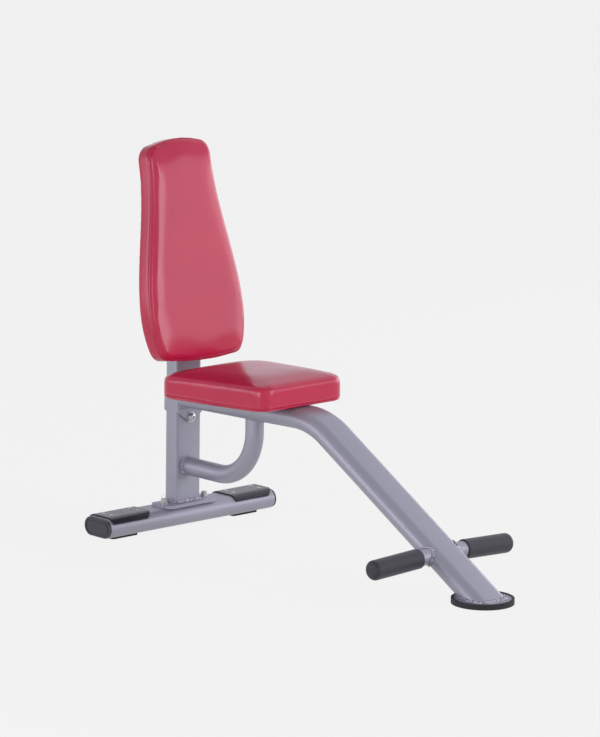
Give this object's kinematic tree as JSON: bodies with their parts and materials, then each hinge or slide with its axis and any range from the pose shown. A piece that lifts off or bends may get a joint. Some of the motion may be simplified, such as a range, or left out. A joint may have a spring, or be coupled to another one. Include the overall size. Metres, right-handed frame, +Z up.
{
  "type": "weight bench",
  "caption": "Upright weight bench with a tall back pad, a seat on a bent tube that runs down to a round front foot, and a pair of foot pegs.",
  "frame": {"origin": "on the floor under the middle of the bench's bounding box", "axes": "+X from the back pad towards the front leg, +Y across to the sitter's left, +Z up"},
  "size_m": [1.2578, 0.583, 1.02],
  "materials": {
    "frame_paint": "satin silver-grey paint",
    "weld": "painted over",
    "vinyl": "red grained vinyl over foam",
    "grip_foam": "matte foam",
    "black_rubber": "matte",
    "black_plastic": "satin",
    "zinc": "zinc plated",
    "plywood": "bare"
  },
  "bodies": {
    "root": {"foot_tube": "frame_paint", "foot_end_cap_left": "black_plastic", "foot_end_cap_right": "black_plastic", "anti_slip_cover_left": "black_plastic", "anti_slip_cover_right": "black_plastic", "cover_rivets_left": "zinc", "cover_rivets_right": "zinc", "rear_rubber_pad_left": "black_rubber", "rear_rubber_pad_right": "black_rubber", "rear_pad_screws": "zinc", "foot_nut_bar": "zinc", "post_base_plate": "frame_paint", "base_bolts": "zinc", "base_washers": "zinc", "post_tube": "frame_paint", "post_base_weld": "weld", "post_top_cap": "black_plastic", "rail_flange": "frame_paint", "flange_weld": "weld", "flange_backing_plate": "frame_paint", "flange_bolts": "zinc", "flange_washers": "zinc", "flange_nuts": "zinc", "rail_leg_tube": "frame_paint", "brace_tube": "frame_paint", "brace_post_weld": "weld", "brace_rail_weld": "weld", "seat_plate_rear": "frame_paint", "seat_plate_front": "frame_paint", "seat_bolts": "zinc", "seat_tee_nuts": "zinc", "seat_board": "plywood", "seat_cushion": "vinyl", "back_bracket_lower": "frame_paint", "back_bracket_upper": "frame_paint", "back_bolts": "zinc", "back_tee_nuts": "zinc", "back_board": "plywood", "back_cushion": "vinyl", "peg_left": "frame_paint", "peg_right": "frame_paint", "peg_weld_left": "weld", "peg_weld_right": "weld", "peg_grip_left": "grip_foam", "peg_grip_right": "grip_foam", "front_foot_disc": "frame_paint", "disc_weld": "weld", "front_rubber_cup": "black_rubber", "front_foot_screws": "zinc"}
  },
  "joints": []
}
